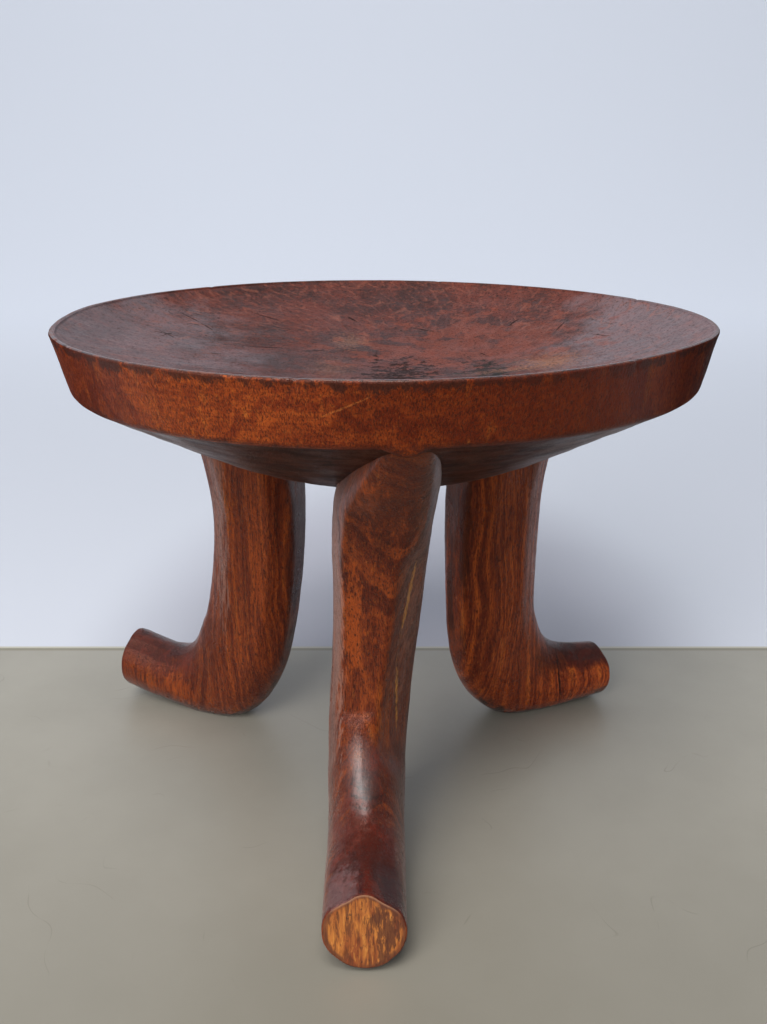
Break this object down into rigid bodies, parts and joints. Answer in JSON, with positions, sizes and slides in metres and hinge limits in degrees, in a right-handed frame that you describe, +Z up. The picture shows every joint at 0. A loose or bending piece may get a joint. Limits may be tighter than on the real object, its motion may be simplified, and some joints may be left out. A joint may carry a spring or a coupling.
{
  "type": "three-legged carved stool",
  "caption": "Low round stool carved from one block of wood: a wide shallow dished seat on three curved legs whose feet turn outward.",
  "frame": {"origin": "on the floor, under the middle of the stool's overall outline; the bowl's own axis stands 2.4 mm to +X and 5.6 mm to +Y of it", "axes": "+Z up, -Y towards the front leg, +X to the right of someone who faces the front leg"},
  "size_m": [0.3856, 0.3909, 0.298],
  "materials": {
    "carved_wood": "hand-rubbed wax over dark red-brown hardwood, satin with glossy worn spots"
  },
  "bodies": {
    "root": {"seat": "carved_wood", "leg_front": "carved_wood", "leg_rear_left": "carved_wood", "leg_rear_right": "carved_wood"}
  },
  "joints": []
}
